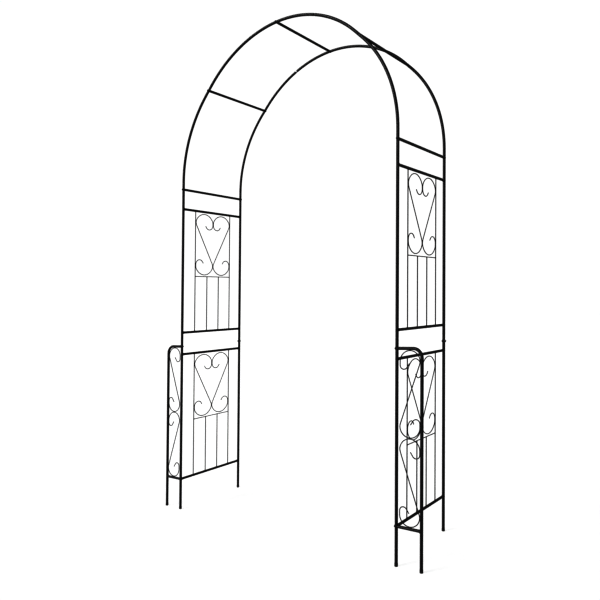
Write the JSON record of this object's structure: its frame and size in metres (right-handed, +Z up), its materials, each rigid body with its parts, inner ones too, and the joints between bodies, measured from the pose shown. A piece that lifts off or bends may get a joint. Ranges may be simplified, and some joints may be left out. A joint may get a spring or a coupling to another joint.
{
  "type": "metal garden arch",
  "caption": "Free-standing tubular steel garden arch with a round top, scrolled trellis side panels and low scrolled wings, for climbing plants over a path.",
  "frame": {"origin": "on the ground, in the middle of the four posts", "axes": "+X across the path, +Y along the path away from the winged front, +Z up"},
  "size_m": [1.4512, 0.4338, 2.2812],
  "materials": {
    "tube": "satin black powder coat",
    "wire": "satin black powder coat",
    "fixing": "blackened steel",
    "insert": "zinc-plated steel",
    "cap": "black moulded cap"
  },
  "bodies": {
    "root": {"cross_wire_lower_left": "wire", "cross_wire_lower_right": "wire", "cross_wire_upper_left": "wire", "cross_wire_upper_right": "wire", "crossbar_apex": "tube", "crossbar_inserts": "insert", "crossbar_left_haunch": "tube", "crossbar_left_spring": "tube", "crossbar_right_haunch": "tube", "crossbar_right_spring": "tube", "crossbar_screws": "fixing", "foot_caps": "cap", "hoop_front_long": "tube", "hoop_front_short": "tube", "hoop_rear_long": "tube", "hoop_rear_short": "tube", "joint_nuts": "fixing", "post_lower_front_left": "tube", "post_lower_front_right": "tube", "post_lower_rear_left": "tube", "post_lower_rear_right": "tube", "post_upper_front_left": "tube", "post_upper_front_right": "tube", "post_upper_rear_left": "tube", "post_upper_rear_right": "tube", "rung_lower_base_left": "tube", "rung_lower_base_right": "tube", "rung_lower_top_left": "tube", "rung_lower_top_right": "tube", "rung_upper_base_left": "tube", "rung_upper_base_right": "tube", "rung_upper_top_left": "tube", "rung_upper_top_right": "tube", "scroll_lower_left_front": "wire", "scroll_lower_left_rear": "wire", "scroll_lower_right_front": "wire", "scroll_lower_right_rear": "wire", "scroll_upper_left_front": "wire", "scroll_upper_left_rear": "wire", "scroll_upper_right_front": "wire", "scroll_upper_right_rear": "wire", "short_bars_lower_left": "wire", "short_bars_lower_right": "wire", "short_bars_upper_left": "wire", "short_bars_upper_right": "wire", "side_screws": "fixing", "uprights_lower_left": "wire", "uprights_lower_right": "wire", "uprights_upper_left": "wire", "uprights_upper_right": "wire", "wing_base_bar_left": "tube", "wing_base_bar_right": "tube", "wing_base_inserts": "insert", "wing_frame_left": "tube", "wing_frame_right": "tube", "wing_scroll_bottom_left": "wire", "wing_scroll_bottom_right": "wire", "wing_scroll_top_left": "wire", "wing_scroll_top_right": "wire", "wing_top_inserts": "insert"}
  },
  "joints": []
}
